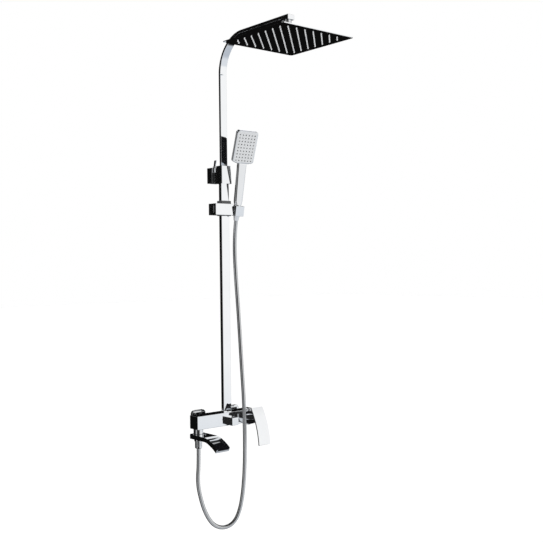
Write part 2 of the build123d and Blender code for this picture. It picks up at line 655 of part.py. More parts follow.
with BuildPart() as arm_end_block:
    block_top_z = ARM_Z + RISER_D / 2
    with BuildSketch(facing_room(BLOCK_BACK_Y)):
        with Locations((0, (BLOCK_BOTTOM_Z + block_top_z) / 2)):
            RectangleRounded(RISER_W, block_top_z - BLOCK_BOTTOM_Z, 1.5)
    extrude(amount=BLOCK_BACK_Y - ARM_END_Y)
    fillet(arm_end_block.faces().sort_by(Axis.Y)[0].edges(), 0.8)
    with BuildSketch(facing_room(BLOCK_BACK_Y + 12)):
        with Locations((0, ARM_Z)):
            RectangleRounded(RISER_BORE_W, RISER_BORE_D, 0.8)
    extrude(amount=12)
    hanging_disc(BLOCK_BOTTOM_Z, 0, HEAD_Y, 10, BLOCK_BOTTOM_Z - NIPPLE_END_Z)
    with BuildSketch(facing_room(BLOCK_BACK_Y + 12)):
        with Locations((0, ARM_Z)):
            Rectangle(18, 4)
    extrude(amount=24, mode=Mode.SUBTRACT)
    hanging_disc(ARM_Z, 0, HEAD_Y, 5, 30, mode=Mode.SUBTRACT)
keep(arm_end_block, "arm_end_block")

# --------------------------------------------------------------- ball joint, head
STEM_NUT_END_Z, NECK_R = 1305.0, 6.0
with BuildPart() as ball_stem:
    hanging_disc(BLOCK_BOTTOM_Z, 0, HEAD_Y, 13.5, BLOCK_BOTTOM_Z - STEM_NUT_END_Z)
    chamfer(ball_stem.edges().filter_by(GeomType.CIRCLE), 1.0)
    with BuildSketch(level(BLOCK_BOTTOM_Z - 3)):
        with Locations((0, HEAD_Y)):
            with PolarLocations(13.5, 24):
                Circle(0.6)
    extrude(amount=-12, mode=Mode.SUBTRACT)
    hanging_disc(BLOCK_BOTTOM_Z, 0, HEAD_Y, 10, BLOCK_BOTTOM_Z - NIPPLE_END_Z, mode=Mode.SUBTRACT)
    hanging_disc(STEM_NUT_END_Z, 0, HEAD_Y, NECK_R, STEM_NUT_END_Z - BALL_Z)
    with Locations((0, HEAD_Y, BALL_Z)):
        Sphere(BALL_R)
    hanging_disc(NIPPLE_END_Z, 0, HEAD_Y, 3.5, 60, mode=Mode.SUBTRACT)
keep(ball_stem, "ball_stem")

SEAT_IN, SEAT_OUT = BALL_R + 0.2, 13.6
SEAT_TOP, SEAT_BOTTOM = 4.5, 9.5  # below the ball's centre
with BuildPart() as ball_seat:
    with Locations((0, HEAD_Y, BALL_Z)):
        Sphere(SEAT_OUT)
        Sphere(SEAT_IN, mode=Mode.SUBTRACT)
    split(bisect_by=level(BALL_Z - SEAT_TOP), keep=Keep.BOTTOM)
    split(bisect_by=level(BALL_Z - SEAT_BOTTOM), keep=Keep.TOP)
keep(ball_seat, "ball_seat")

HEAD_TOP_Z = HEAD_FACE_Z + HEAD_SHELL_H
BOSS_TOP_Z, BOSS_R = BALL_Z - 1.0, 17.0
LIP_Z = BALL_Z + 6.5


def head_pan(side, corner, rim, height, mode=Mode.ADD):
    """Square plate with an upright rim and a top that slopes up to its flat middle."""
    upright_block(HEAD_FACE_Z, 0, HEAD_Y, side, side, corner, rim, mode=mode)
    with BuildSketch(level(HEAD_FACE_Z + rim)) as edge:
        with Locations((0, HEAD_Y)):
            RectangleRounded(side, side, corner)
    with BuildSketch(level(HEAD_FACE_Z + height)) as middle:
        with Locations((0, HEAD_Y)):
            RectangleRounded(side - 2 * HEAD_SLOPE, side - 2 * HEAD_SLOPE, corner)
    loft([edge.sketch, middle.sketch], mode=mode)


with BuildPart() as head_shell:
    head_pan(HEAD_SIDE, 8, HEAD_RIM, HEAD_SHELL_H)
    head_pan(HEAD_SIDE - 4, 6, HEAD_RIM - 1.4, HEAD_SHELL_H - 1.6, Mode.SUBTRACT)
    hanging_disc(HEAD_TOP_Z + 2.5, 0, HEAD_Y, 32, 2.5)
    fillet(head_shell.faces().sort_by(Axis.Z)[-1].edges(), 1.2)
    hanging_disc(BOSS_TOP_Z, 0, HEAD_Y, BOSS_R, BOSS_TOP_Z - HEAD_TOP_Z)
    with Locations((0, HEAD_Y, BALL_Z)):
        Sphere(SEAT_OUT + SOFT_FIT, mode=Mode.SUBTRACT)
    hanging_disc(BALL_Z, 0, HEAD_Y, 6, 40, mode=Mode.SUBTRACT)
keep(head_shell, "head_shell")

COLLAR_BOTTOM_Z = HEAD_TOP_Z + 3.0
with BuildPart() as collar_nut:
    hanging_disc(LIP_Z, 0, HEAD_Y, 20.5, LIP_Z - COLLAR_BOTTOM_Z)
    fillet(collar_nut.faces().sort_by(Axis.Z)[-1].edges(), 4.0)
    with BuildSketch(level(COLLAR_BOTTOM_Z + 2)):
        with Locations((0, HEAD_Y)):
            with PolarLocations(20.5, 36):
                Circle(0.6)
    extrude(amount=13, mode=Mode.SUBTRACT)
    hanging_disc(BOSS_TOP_Z, 0, HEAD_Y, BOSS_R + 0.1, 40, mode=Mode.SUBTRACT)
    with Locations((0, HEAD_Y, BALL_Z)):
        Sphere(BALL_R + SOFT_FIT, mode=Mode.SUBTRACT)
keep(collar_nut, "collar_nut")

NOZZLE_R, NOZZLE_DROP, MAT_T = 2.4, 3.2, 1.2
FACE_T = 1.2


def head_grid(radius, mode=Mode.ADD):
    """One circle for each nozzle of the rain head, in rows that stagger."""
    with Locations((0, HEAD_Y)):
        for across_rows, along_rows in ((HEAD_NOZZLES, HEAD_NOZZLES - 1), (HEAD_NOZZLES - 1, HEAD_NOZZLES)):
            with GridLocations(HEAD_PITCH, HEAD_PITCH, across_rows, along_rows):
                Circle(radius, mode=mode)


with BuildPart() as head_face:
    with BuildSketch(level(HEAD_FACE_Z)):
        with Locations((0, HEAD_Y)):
            RectangleRounded(HEAD_SIDE - 4, HEAD_SIDE - 4, 6)
        head_grid(NOZZLE_R + 0.2, mode=Mode.SUBTRACT)
    extrude(amount=FACE_T)
keep(head_face, "head_face")

with BuildPart() as head_nozzles:
    upright_block(HEAD_FACE_Z + FACE_T, 0, HEAD_Y, HEAD_SIDE - 24, HEAD_SIDE - 24, 4, MAT_T)
    with BuildSketch(level(HEAD_FACE_Z + FACE_T)):
        head_grid(NOZZLE_R)
    extrude(amount=-FACE_T - NOZZLE_DROP)
keep(head_nozzles, "head_nozzles")

# ----------------------------------------------------------------------- slider
BLOCK_LEFT, BLOCK_RIGHT = -54.0, 24.0
BLOCK_FRONT, BLOCK_BACK = -95.0, -53.0
LINER_W, LINER_D, LINER_TOP = 42.0, 28.0, 765.0
SLIDER_Z = (SLIDER_BOTTOM + SLIDER_TOP) / 2
BUTTON_SIDE, BUTTON_OUT, BUTTON_IN = 24.0, -57.0, -43.0
POCKET_X = -30.0  # bottom of the button's pocket
BRAKE_D, BRAKE_H = 10.0, 16.0
AXLE_R, AXLE_END = 3.5, 30.5


def block_along_x(x0, x1, y, z, depth, height, mode=Mode.ADD):
    """Square-edged block from x0 to x1, centred on y and z."""
    with BuildSketch(across(x0)) as section:
        with Locations((y, z)):
            Rectangle(depth, height)
    extrude(section.sketch, amount=x1 - x0, mode=mode)


def bar_along_x(x0, x1, y, z, radius, mode=Mode.ADD):
    """Round bar or bore from x0 to x1, centred on y and z."""
    with BuildSketch(across(x0)) as section:
        with Locations((y, z)):
            Circle(radius)
    extrude(section.sketch, amount=x1 - x0, mode=mode)


with BuildPart() as slider_block:
    with BuildSketch(across(BLOCK_LEFT)):
        with Locations(((BLOCK_FRONT + BLOCK_BACK) / 2, SLIDER_Z)):
            Rectangle(BLOCK_BACK - BLOCK_FRONT, SLIDER_TOP - SLIDER_BOTTOM)
    extrude(amount=BLOCK_RIGHT - BLOCK_LEFT)
    fillet(slider_block.edges(), 1.0)
    with BuildSketch(level(SLIDER_BOTTOM)):
        with Locations((0, MIXER_Y)):
            RectangleRounded(LINER_W, LINER_D, 2)
    extrude(amount=60, mode=Mode.SUBTRACT)
    block_along_x(BLOCK_LEFT, POCKET_X, -74, SLIDER_Z, 24.2, 24.2, mode=Mode.SUBTRACT)
    bar_along_x(POCKET_X, -20, -74, SLIDER_Z, 2.6, mode=Mode.SUBTRACT)
    bar_along_x(12, 30, CRADLE_PIVOT_Y, CRADLE_CENTRE[2], AXLE_R, mode=Mode.SUBTRACT)
keep(slider_block, "slider_block")

with BuildPart() as slider_liner:
    with BuildSketch(level(SLIDER_BOTTOM - 2)):
        with Locations((0, MIXER_Y)):
            RectangleRounded(LINER_W, LINER_D, 2)
    extrude(amount=LINER_TOP - SLIDER_BOTTOM + 2)
    chamfer(slider_liner.faces().sort_by(Axis.Z)[-1].edges(), 1.0)
    with BuildSketch(level(SLIDER_BOTTOM - 2)):
        with Locations((0, MIXER_Y)):
            RectangleRounded(TUBE_W + 2 * FIT, TUBE_D + 2 * FIT, 1.4)
    extrude(amount=80, mode=Mode.SUBTRACT)
    block_along_x(-22, -16, MIXER_Y, SLIDER_Z, BRAKE_D, BRAKE_H, mode=Mode.SUBTRACT)
keep(slider_liner, "slider_liner")

with BuildPart() as brake_pad:
    block_along_x(-LINER_W / 2, -TUBE_W / 2 - FIT, MIXER_Y, SLIDER_Z, BRAKE_D, BRAKE_H)
keep(brake_pad, "brake_pad")

with BuildPart() as release_button:
    block_along_x(BUTTON_OUT, BUTTON_IN, -74, SLIDER_Z, BUTTON_SIDE, BUTTON_SIDE)
    fillet(release_button.faces().sort_by(Axis.X)[0].edges(), 1.0)
    bar_along_x(BUTTON_IN, -26, -74, SLIDER_Z, 2.5)
keep(release_button, "release_button")

SPRING_R, WIRE_R, SPRING_PITCH = 5.0, 0.5, 2.2
with BuildPart() as button_spring:
    spring_length = POCKET_X - BUTTON_IN - 2 * WIRE_R - 0.4
    with BuildLine():
        coil = Helix(
            SPRING_PITCH,
            spring_length,
            SPRING_R,
            center=(BUTTON_IN + WIRE_R + 0.2, -74, SLIDER_Z),
            direction=(1, 0, 0),
        )
    with BuildSketch(Plane(origin=coil @ 0, z_dir=coil % 0)):
        Circle(WIRE_R)
    sweep(is_frenet=True)
keep(button_spring, "button_spring")

with BuildPart() as cradle_axle:
    bar_along_x(12, AXLE_END, CRADLE_PIVOT_Y, CRADLE_CENTRE[2], AXLE_R)
keep(cradle_axle, "cradle_axle")

# ------------------------------------------------------------ cradle and handset
lean = radians(CRADLE_TILT)
yaw = radians(HANDSET_YAW)
cradle_plane = Plane(origin=CRADLE_CENTRE, x_dir=(1, 0, 0), z_dir=(0, -sin(lean), cos(lean)))
handset_plane = Plane(
    origin=CRADLE_CENTRE,
    x_dir=(cos(yaw), sin(yaw) * cos(lean), sin(yaw) * sin(lean)),
    z_dir=(0, -sin(lean), cos(lean)),
)
CRADLE_W, CRADLE_D, CRADLE_H = 37.0, 34.0, 36.0
SOCKET_TOP_R, SOCKET_BOTTOM_R = 12.6, 11.2
SLOT_W = 15.4


def cone_in(plane, z0, r0, z1, r1, mode=Mode.ADD):
    """Cone between two circles on a plane's own axis."""
    with BuildSketch(plane.offset(z0)) as start:
        Circle(r0)
    with BuildSketch(plane.offset(z1)) as end:
        Circle(r1)
    loft([start.sketch, end.sketch], mode=mode)


with BuildPart() as cradle:
    with BuildSketch(cradle_plane.offset(-CRADLE_H / 2)):
        Rectangle(CRADLE_W, CRADLE_D)
    extrude(amount=CRADLE_H)
    fillet(cradle.edges(), 1.0)
    cone_in(cradle_plane, -CRADLE_H / 2, SOCKET_BOTTOM_R, CRADLE_H / 2, SOCKET_TOP_R, Mode.SUBTRACT)
    # slot on the right, which lets the hose out sideways
    with BuildSketch(cradle_plane.offset(-CRADLE_H / 2)):
        with Locations((CRADLE_W / 2, 0)):
            Rectangle(CRADLE_W, SLOT_W)
    extrude(amount=CRADLE_H, mode=Mode.SUBTRACT)
    bar_along_x(20, AXLE_END + 0.5, CRADLE_PIVOT_Y, CRADLE_CENTRE[2], AXLE_R + FIT, mode=Mode.SUBTRACT)
keep(cradle, "cradle")

TAIL_Z, INLET_Z, COUPLING_Z = -35.0, 8.0, 20.0
with BuildPart() as hose_cone_nut:
    cone_in(handset_plane, TAIL_Z, 8.4, -18, 10.9)
    cone_in(handset_plane, -18, 10.9, 18, 12.3)
    with BuildSketch(handset_plane.offset(18)):
        Circle(12.3)
    extrude(amount=COUPLING_Z - 18)
    with BuildSketch(handset_plane.offset(TAIL_Z)):
        Circle(5)
    extrude(amount=60, mode=Mode.SUBTRACT)
    with BuildSketch(handset_plane.offset(INLET_Z - 2)):
        Circle(10.4)
    extrude(amount=20, mode=Mode.SUBTRACT)
keep(hose_cone_nut, "hose_cone_nut")

with BuildPart() as handset_washer:
    with BuildSketch(handset_plane.offset(INLET_Z - 2)):
        Circle(9.8)
        Circle(5.5, mode=Mode.SUBTRACT)
    extrude(amount=2)
keep(handset_washer, "handset_washer")

HEAD_ORIGIN_Z = 163.0  # along the handle
SPRAY_W, SPRAY_H, SPRAY_T = 80.0, 116.0, 14.0
SHOULDER_H, NECK_W = 5.0, 44.0  # the lower edge slopes in to the handle
SPRAY_MID = 5.0 + SPRAY_H / 2  # centre of the spray head above the bend
FACE_INSET, FACE_DEPTH = 4.0, 2.5
SPRAY_NOZZLE_R = 1.7
GRID_DROP = 2.0  # the nozzles sit a little below the middle of the head
HANDLE_W, HANDLE_D = 32.0, 16.0
head_lean = radians(HEAD_TILT)
front_dir = handset_plane.y_dir * -cos(head_lean) - handset_plane.z_dir * sin(head_lean)
bend_point = handset_plane.from_local_coords(Vector(0, 0, HEAD_ORIGIN_Z))
spray_plane = Plane(
    origin=bend_point + front_dir * (SPRAY_T / 2),
    x_dir=handset_plane.x_dir,
    z_dir=front_dir,
)
SPRAY_OUTLINE = (
    (-SPRAY_W / 2, SPRAY_MID + SPRAY_H / 2),
    (-SPRAY_W / 2, SPRAY_MID - SPRAY_H / 2 + SHOULDER_H),
    (-NECK_W / 2, SPRAY_MID - SPRAY_H / 2),
    (NECK_W / 2, SPRAY_MID - SPRAY_H / 2),
    (SPRAY_W / 2, SPRAY_MID - SPRAY_H / 2 + SHOULDER_H),
    (SPRAY_W / 2, SPRAY_MID + SPRAY_H / 2),
)


def spray_slab(depth_from, inset, thickness, mode=Mode.ADD):
    """Slab of the spray head's outline, depth_from behind its front, towards the back."""
    with BuildSketch(spray_plane.offset(-depth_from)) as section:
        Polygon(*SPRAY_OUTLINE, align=None)
        fillet(section.vertices().group_by(Axis.Y)[-1], 10)
        fillet(section.vertices().group_by(Axis.Y)[1], 7)
        if inset:
            offset(amount=-inset, mode=Mode.REPLACE)
    extrude(section.sketch, amount=-thickness, mode=mode)


with BuildPart() as handset_shell:
    spray_slab(0, 0, SPRAY_T)
    front_rim = handset_shell.faces().sort_by(Axis(spray_plane.origin, spray_plane.z_dir))[-1]
    fillet(front_rim.edges(), 2.8)
    with BuildSketch(handset_plane.offset(COUPLING_Z + 0.2)):
        RectangleRounded(25, 20, 8)
    with BuildSketch(handset_plane.offset(COUPLING_Z + 14)):
        RectangleRounded(HANDLE_W - 2, HANDLE_D + 2, 6)
    with BuildSketch(handset_plane.offset(HEAD_ORIGIN_Z)):
        RectangleRounded(HANDLE_W + 2, HANDLE_D - 2, 5)
    with BuildSketch(handset_plane.offset(HEAD_ORIGIN_Z + 22)):
        RectangleRounded(HANDLE_W - 4, 4, 1.9)
    loft(ruled=True)
    with BuildSketch(handset_plane.offset(INLET_Z)):
        Circle(10.2)
    extrude(amount=COUPLING_Z + 1 - INLET_Z)
    spray_slab(-1, FACE_INSET, FACE_DEPTH + 1, Mode.SUBTRACT)
    spray_slab(FACE_DEPTH, FACE_INSET + 2, 5, Mode.SUBTRACT)
    with BuildSketch(handset_plane.offset(INLET_Z)):
        Circle(3.6)
    extrude(amount=HEAD_ORIGIN_Z + 17 - INLET_Z, mode=Mode.SUBTRACT)
keep(handset_shell, "handset_shell")


def spray_grid(radius, mode=Mode.ADD):
    """One circle for each nozzle of the handset."""
    with Locations((0, SPRAY_MID - GRID_DROP)):
        with GridLocations(HANDSET_PITCH_X, HANDSET_PITCH_Z, HANDSET_COLUMNS, HANDSET_ROWS):
            Circle(radius, mode=mode)


with BuildPart() as handset_face:
    spray_slab(0, FACE_INSET, FACE_DEPTH)
    with BuildSketch(spray_plane):
        spray_grid(SPRAY_NOZZLE_R + 0.2)
    extrude(amount=-FACE_DEPTH, mode=Mode.SUBTRACT)
keep(handset_face, "handset_face")

with BuildPart() as handset_nozzles:
    spray_slab(FACE_DEPTH, FACE_INSET + 3, 1.2)
    with BuildSketch(spray_plane.offset(-FACE_DEPTH)):
        spray_grid(SPRAY_NOZZLE_R)
    extrude(amount=FACE_DEPTH + 1.0)
keep(handset_nozzles, "handset_nozzles")

# ------------------------------------------------------------------------- hose
HOSE_NUT_END_Z = HOSE_POINTS[0][2]
with BuildPart() as hose_nut:
    at_outlet(-66, 12.5, -66 - HOSE_NUT_END_Z)
    chamfer(hose_nut.faces().sort_by(Axis.Z)[0].edges(), 2.0)
    with BuildSketch(level(-68)):
        with Locations((SPOUT_X, MIXER_Y)):
            with PolarLocations(12.5, 24):
                Circle(0.6)
    extrude(amount=-16, mode=Mode.SUBTRACT)
    at_outlet(-66, G12_R, 13, mode=Mode.SUBTRACT)
    at_outlet(-70, 5, 30, mode=Mode.SUBTRACT)
keep(hose_nut, "hose_nut")

with BuildPart() as outlet_washer:
    at_outlet(POST_END_Z, 9.8, 2)
    at_outlet(POST_END_Z, 6.5, 2, mode=Mode.SUBTRACT)
keep(outlet_washer, "outlet_washer")

points = [Vector(*point) for point in HOSE_POINTS]
radii = []
for before, corner, after in zip(points, points[1:], points[2:]):
    turn = (corner - before).get_angle(after - corner)
    shorter = min((corner - before).length, (after - corner).length)
    radii.append(0.45 * shorter / tan(radians(turn) / 2))
    print(f"hose arc at {tuple(corner)}: turn {turn:.1f} deg, radius {radii[-1]:.0f} mm")

with BuildPart() as shower_hose:
    with BuildLine():
        route = FilletPolyline(*points, radius=radii)
    with BuildSketch(Plane(origin=route @ 0, z_dir=route % 0)):
        Circle(HOSE_R)
    sweep()
hose_length = route.length
expected = pi * HOSE_R**2 * hose_length
print(f"hose length {hose_length:.0f} mm, volume {shower_hose.part.volume / expected:.4f} of section x length")
keep(shower_hose, "shower_hose")
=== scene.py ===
import bpy, bmesh, json, math
from mathutils import Matrix, Vector


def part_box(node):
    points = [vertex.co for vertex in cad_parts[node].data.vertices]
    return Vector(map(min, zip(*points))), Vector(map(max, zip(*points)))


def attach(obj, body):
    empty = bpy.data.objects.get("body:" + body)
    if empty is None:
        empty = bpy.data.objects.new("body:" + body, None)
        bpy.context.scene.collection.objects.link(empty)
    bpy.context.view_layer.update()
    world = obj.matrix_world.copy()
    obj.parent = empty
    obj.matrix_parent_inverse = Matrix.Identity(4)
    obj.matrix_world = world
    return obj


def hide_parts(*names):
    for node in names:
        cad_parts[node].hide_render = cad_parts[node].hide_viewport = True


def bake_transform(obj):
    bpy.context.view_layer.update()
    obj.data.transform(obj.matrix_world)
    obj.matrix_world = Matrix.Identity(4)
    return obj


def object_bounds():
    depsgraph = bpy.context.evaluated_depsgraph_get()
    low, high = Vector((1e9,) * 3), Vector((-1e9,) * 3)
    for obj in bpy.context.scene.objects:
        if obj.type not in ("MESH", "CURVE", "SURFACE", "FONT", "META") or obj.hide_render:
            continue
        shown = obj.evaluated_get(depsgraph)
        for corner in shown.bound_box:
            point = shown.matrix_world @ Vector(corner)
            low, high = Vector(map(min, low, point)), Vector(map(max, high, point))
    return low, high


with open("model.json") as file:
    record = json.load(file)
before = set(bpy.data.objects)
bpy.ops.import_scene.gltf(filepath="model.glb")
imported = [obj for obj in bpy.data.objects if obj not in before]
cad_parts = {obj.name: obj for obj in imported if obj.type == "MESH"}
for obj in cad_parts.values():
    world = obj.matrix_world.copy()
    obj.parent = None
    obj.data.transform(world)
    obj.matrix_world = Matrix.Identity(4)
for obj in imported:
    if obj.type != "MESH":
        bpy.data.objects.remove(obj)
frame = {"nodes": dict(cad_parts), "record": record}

cad_low, cad_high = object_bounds()
nodes = frame["nodes"]
MM = 0.001

# ------------------------------------------------------------------------ camera
CAMERA_PLACE = (-1.8693, -2.5380, 0.53935)
heading, pitch, roll = math.radians(40.2), math.radians(-0.46), math.radians(0.65)
forward = Vector((
    math.sin(heading) * math.cos(pitch),
    math.cos(heading) * math.cos(pitch),
    math.sin(pitch),
))
level = Vector((math.cos(heading), -math.sin(heading), 0.0))
upright = level.cross(forward)
right = level * math.cos(roll) - upright * math.sin(roll)
up = level * math.sin(roll) + upright * math.cos(roll)
camera_data = bpy.data.cameras.new("camera")
camera_data.lens = 58.12
camera_data.sensor_width = 36.0
camera_data.clip_end = 100.0
camera = bpy.data.objects.new("camera", camera_data)
bpy.context.scene.collection.objects.link(camera)
turn = Matrix((right, up, -forward)).transposed().to_4x4()
camera.matrix_world = Matrix.Translation(CAMERA_PLACE) @ turn
bpy.context.scene.camera = camera


# --------------------------------------------------------------------- materials
class Nodes:
    """A small helper that builds one procedural material."""

    def __init__(self, name):
        self.mat = bpy.data.materials.new(name)
        self.mat.use_nodes = True
        self.tree = self.mat.node_tree
        self.shader = self.tree.nodes["Principled BSDF"]
        coords = self.tree.nodes.new("ShaderNodeTexCoord")
        self.object_coords = coords.outputs["Object"]

    def node(self, kind, **settings):
        made = self.tree.nodes.new(kind)
        for key, value in settings.items():
            setattr(made, key, value)
        return made

    def link(self, source, target):
        self.tree.links.new(source, target)

    def set(self, **values):
        for key, value in values.items():
            self.shader.inputs[key.replace("_", " ")].default_value = value
        return self

    def noise(self, scale, detail=4.0, roughness=0.55, stretch=(1, 1, 1)):
        mapping = self.node("ShaderNodeMapping")
        mapping.inputs["Scale"].default_value = stretch
        self.link(self.object_coords, mapping.inputs["Vector"])
        made = self.node("ShaderNodeTexNoise")
        made.inputs["Scale"].default_value = scale
        made.inputs["Detail"].default_value = detail
        made.inputs["Roughness"].default_value = roughness
        self.link(mapping.outputs["Vector"], made.inputs["Vector"])
        return made.outputs["Fac"]

    def ramp(self, source, stops):
        made = self.node("ShaderNodeValToRGB")
        ramp = made.color_ramp
        while len(ramp.elements) < len(stops):
            ramp.elements.new(0.5)
        for element, (place, colour) in zip(ramp.elements, stops):
            element.position = place
            element.color = (*colour, 1.0)
        self.link(source, made.inputs["Fac"])
        return made.outputs["Color"]

    def spread(self, source, low, high, from_low=0.3, from_high=0.7):
        made = self.node("ShaderNodeMapRange")
        made.inputs["From Min"].default_value = from_low
        made.inputs["From Max"].default_value = from_high
        made.inputs["To Min"].default_value = low
        made.inputs["To Max"].default_value = high
        self.link(source, made.inputs["Value"])
        return made.outputs["Result"]

    def bump(self, source, strength, distance):
        made = self.node("ShaderNodeBump")
        made.inputs["Strength"].default_value = strength
        made.inputs["Distance"].default_value = distance
        self.link(source, made.inputs["Height"])
        self.link(made.outputs["Normal"], self.shader.inputs["Normal"])
        return self


def grey(value, tint=0.0):
    return (value * (1 - tint), value, value * (1 + tint))


def chrome(name, low=0.03, high=0.075, tone=0.90, tint=0.012, ripple=0.00002):
    made = Nodes(name).set(Metallic=1.0)
    tones = ((0.35, grey(tone * 0.97, tint)), (0.65, grey(tone, tint)))
    made.link(made.ramp(made.noise(9.0), tones), made.shader.inputs["Base Color"])
    made.link(made.spread(made.noise(38.0, 6.0), low, high), made.shader.inputs["Roughness"])
    made.bump(made.noise(260.0, 3.0), 0.12, ripple)
    return made.mat


def brushed(name, tone, tint, stretch, low=0.22, high=0.38):
    made = Nodes(name).set(Metallic=1.0)
    grain = made.noise(420.0, 4.0, 0.6, stretch)
    tones = ((0.3, grey(tone * 0.86, tint)), (0.7, grey(tone, tint)))
    made.link(made.ramp(grain, tones), made.shader.inputs["Base Color"])
    made.link(made.spread(grain, low, high), made.shader.inputs["Roughness"])
    made.bump(grain, 0.25, 0.00008)
    return made.mat


def moulded(name, tone, tint=0.0, low=0.35, high=0.55, grain=900.0, depth=0.00006, sheen=0.5):
    made = Nodes(name).set(Specular_IOR_Level=sheen)
    tones = ((0.3, grey(tone * 0.93, tint)), (0.7, grey(tone, tint)))
    made.link(made.ramp(made.noise(14.0), tones), made.shader.inputs["Base Color"])
    made.link(made.spread(made.noise(120.0), low, high), made.shader.inputs["Roughness"])
    made.bump(made.noise(grain, 2.0), 0.35, depth)
    return made.mat


THREAD_PITCH = 1.814 * MM
THREAD_SCALE = 2 * math.pi / 20 / THREAD_PITCH  # a wave texture's bands repeat so often


def brass(name):
    """Turned brass, threaded along the inlet pipes' axis."""
    made = Nodes(name).set(Metallic=1.0)
    tones = ((0.3, (0.55, 0.38, 0.16)), (0.7, (0.72, 0.53, 0.26)))
    made.link(made.ramp(made.noise(60.0), tones), made.shader.inputs["Base Color"])
    made.link(made.spread(made.noise(300.0), 0.2, 0.36), made.shader.inputs["Roughness"])
    thread = made.node("ShaderNodeTexWave", bands_direction="Y")
    thread.inputs["Scale"].default_value = THREAD_SCALE
    thread.inputs["Distortion"].default_value = 0.0
    made.link(made.object_coords, thread.inputs["Vector"])
    made.bump(thread.outputs["Fac"], 0.9, 0.0009)
    return made.mat


CHROME = chrome("polished_chrome")
CHROME_PLATE = chrome("chrome_on_flat_plate", 0.025, 0.06, 0.91, 0.014, 0.00001)
STEEL = brushed("satin_steel", 0.62, 0.01, (1, 1, 8))
BRASS = brass("turned_brass")
SEAL = moulded("black_rubber", 0.03, 0.0, 0.6, 0.85, 700.0, 0.0001, 0.3)
SILICONE = moulded("grey_silicone", 0.80, 0.01, 0.42, 0.6, 500.0, 0.00008, 0.4)
SILICONE_DARK = moulded("dark_grey_silicone", 0.05, 0.03, 0.4, 0.6, 500.0, 0.00008, 0.4)
POLYMER = moulded("grey_polymer", 0.09, 0.02, 0.4, 0.6)
FACE = moulded("light_grey_gloss", 0.60, 0.02, 0.16, 0.26, 1200.0, 0.00002)
INDEX = moulded("index_grey", 0.55, 0.0, 0.2, 0.3)

by_slot = {
    "chrome": CHROME,
    "brass": BRASS,
    "steel": STEEL,
    "seal": SEAL,
    "nozzle": SILICONE,
    "polymer": POLYMER,
    "face": FACE,
    "index": INDEX,
    "hose": CHROME,
}
slot_names = {part["node"]: part["material_slot"] for part in frame["record"]["subparts"]}


def paint(obj, material):
    obj.data.materials.clear()
    obj.data.materials.append(material)


for name, obj in nodes.items():
    paint(obj, by_slot[slot_names[name]])
for name in ("head_shell", "head_face", "lever_handle", "mixer_body", "lower_tube", "riser_arm"):
    paint(nodes[name], CHROME_PLATE)
paint(nodes["handset_nozzles"], SILICONE_DARK)


# ------------------------------------------------------------------------- hose
HOSE_POINTS = (
    (-122.0, -71.0, -90.0),
    (-122.0, -71.0, -140.0),
    (-130.0, -74.0, -205.0),
    (-123.0, -78.0, -255.0),
    (-109.0, -84.0, -308.0),
    (-86.0, -92.0, -352.0),
    (-58.0, -100.0, -371.0),
    (-28.5, -107.0, -372.5),
    (-3.0, -113.0, -358.5),
    (14.0, -118.0, -329.0),
    (26.0, -122.0, -280.5),
    (32.5, -127.0, -205.0),
    (35.0, -130.0, -110.0),
    (34.5, -129.0, 50.0),
    (35.0, -115.0, 200.0),
    (39.0, -97.0, 370.0),
    (44.0, -74.5, 520.0),
    (44.5, -70.7, 637.67),
    (44.5, -81.622, 696.586),
)
HOSE_D = 14.0 * MM
RIB_PITCH = 3.4 * MM
RINGS_A_RIB = 5
SIDES = 28
GROOVE = 0.55 * MM


def smooth_line(points, name):
    """Points read from a NURBS spline through the route's control points."""
    curve = bpy.data.curves.new(name, "CURVE")
    curve.dimensions = "3D"
    curve.resolution_u = 24
    spline = curve.splines.new("NURBS")
    spline.points.add(len(points) - 1)
    for target, point in zip(spline.points, points):
        target.co = (point[0] * MM, point[1] * MM, point[2] * MM, 1.0)
    spline.order_u = 3
    spline.use_endpoint_u = True
    holder = bpy.data.objects.new(name, curve)
    bpy.context.scene.collection.objects.link(holder)
    bpy.context.view_layer.update()
    depsgraph = bpy.context.evaluated_depsgraph_get()
    line = bpy.data.meshes.new_from_object(holder.evaluated_get(depsgraph))
    found = [v.co.copy() for v in line.vertices]
    bpy.data.objects.remove(holder)
    bpy.data.curves.remove(curve)
    bpy.data.meshes.remove(line)
    if (found[0] - Vector(points[0]) * MM).length > (found[-1] - Vector(points[0]) * MM).length:
        found.reverse()
    return found


def even_steps(line, step):
    """The line walked in even steps, with both of its ends."""
    lengths = [0.0]
    for a, b in zip(line, line[1:]):
        lengths.append(lengths[-1] + (b - a).length)
    total = lengths[-1]
    count = max(2, round(total / step))
    out, i = [], 0
    for k in range(count + 1):
        s = total * k / count
        while i < len(line) - 2 and lengths[i + 1] < s:
            i += 1
        t = (s - lengths[i]) / (lengths[i + 1] - lengths[i])
        out.append(line[i].lerp(line[i + 1], t))
    return out


